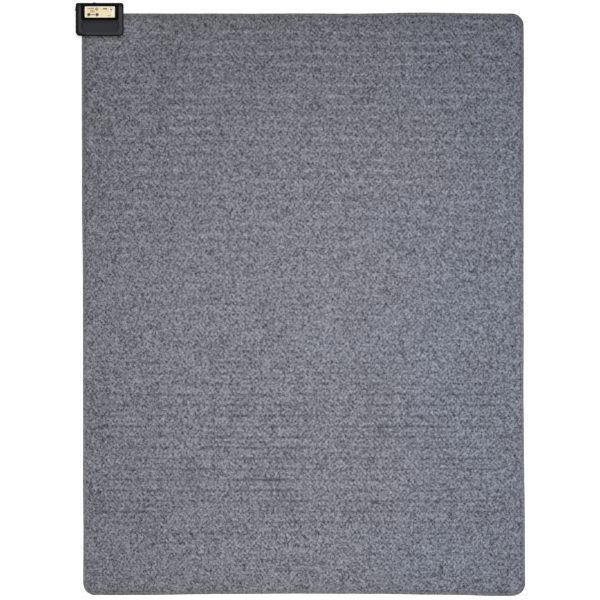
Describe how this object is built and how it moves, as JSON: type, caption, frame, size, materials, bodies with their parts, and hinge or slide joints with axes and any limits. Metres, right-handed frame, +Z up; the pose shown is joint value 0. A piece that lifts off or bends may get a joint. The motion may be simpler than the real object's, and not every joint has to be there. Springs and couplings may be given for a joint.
{
  "type": "electric heated floor mat",
  "caption": "Thin rectangular electric heated floor mat of quilted felt with a bound edge and a flat controller box clamped on one corner.",
  "frame": {"origin": "centre of the mat's underside, without the controller's overhang", "axes": "+Z up out of the warm side; +Y along the mat towards the end that carries the controller; +X across the mat, away from the controller's side"},
  "size_m": [1.3588, 1.7938, 0.0323],
  "materials": {
    "felt": "heather grey needle felt, quilted by the heater runs under it",
    "binding": "woven edge tape, stitched",
    "pad": "recycled fibre pad",
    "backing": "non-slip coated cloth",
    "foil": "soft foil",
    "film": "hot-melt bonding film",
    "wire": "heat-proof insulation",
    "case": "fine moulded grain",
    "insert": "gloss",
    "label": "printed film, satin",
    "button": "satin",
    "lens": "tinted, clear",
    "rubber": "matt",
    "steel": "zinc plated",
    "brass": "plain",
    "board": "phenolic board",
    "black_plastic": "moulded",
    "white_plastic": "moulded",
    "relay": "moulded",
    "can_sleeve": "shrunk sleeve",
    "red_coating": "dipped",
    "ceramic": "unglazed",
    "core": "laminated, varnished",
    "tape": "winding tape",
    "terminal": "moulded",
    "glass_tube": "clear"
  },
  "bodies": {
    "mat_and_case": {"surface_felt": "felt", "edge_binding": "binding", "bonding_film": "film", "heater_wire": "wire", "heat_spreading_foil": "foil", "insulating_pad": "pad", "nonslip_backing": "backing", "upper_case": "case", "lower_case": "case", "panel_insert": "insert", "control_label": "label", "lamp_lens": "lens", "cord_gland": "rubber", "near_clamp_bar": "black_plastic", "side_clamp_bar": "black_plastic", "circuit_board": "board", "power_switch": "black_plastic", "timer_switch": "black_plastic", "slide_control": "steel", "indicator_led": "lens", "power_relay": "relay", "transformer_core": "core", "transformer_winding": "tape", "film_capacitor": "red_coating", "smoothing_capacitor": "can_sleeve", "control_chip": "black_plastic", "heating_resistor": "ceramic", "thermal_fuse": "brass", "fuse": "glass_tube", "fuse_clip_left": "brass", "fuse_clip_right": "brass", "mains_terminal_block": "terminal", "heater_terminal_block": "terminal", "case_screw_1": "steel", "case_screw_2": "steel", "case_screw_3": "steel", "case_screw_4": "steel", "clamp_screw_1": "steel", "clamp_screw_2": "steel", "clamp_screw_3": "steel", "clamp_screw_4": "steel", "board_screw_1": "steel", "board_screw_2": "steel", "board_screw_3": "steel", "board_screw_4": "steel"},
    "power_key": {"power_button": "button", "power_switch_plunger": "white_plastic"},
    "timer_key": {"timer_button": "button", "timer_switch_plunger": "white_plastic"},
    "heat_lever": {"temperature_lever": "button", "slide_wiper": "steel"}
  },
  "joints": [
    {"name": "power_press", "type": "slide", "parent": "mat_and_case", "child": "power_key", "axis": [0, 0, -1], "range_m": [0, 0.001], "stiffness_N_per_m": 600, "springref_m": -0.0005},
    {"name": "timer_press", "type": "slide", "parent": "mat_and_case", "child": "timer_key", "axis": [0, 0, -1], "range_m": [0, 0.001], "stiffness_N_per_m": 600, "springref_m": -0.0005},
    {"name": "temperature_slide", "type": "slide", "parent": "mat_and_case", "child": "heat_lever", "axis": [1, 0, 0], "range_m": [-0.018, 0.018]}
  ]
}
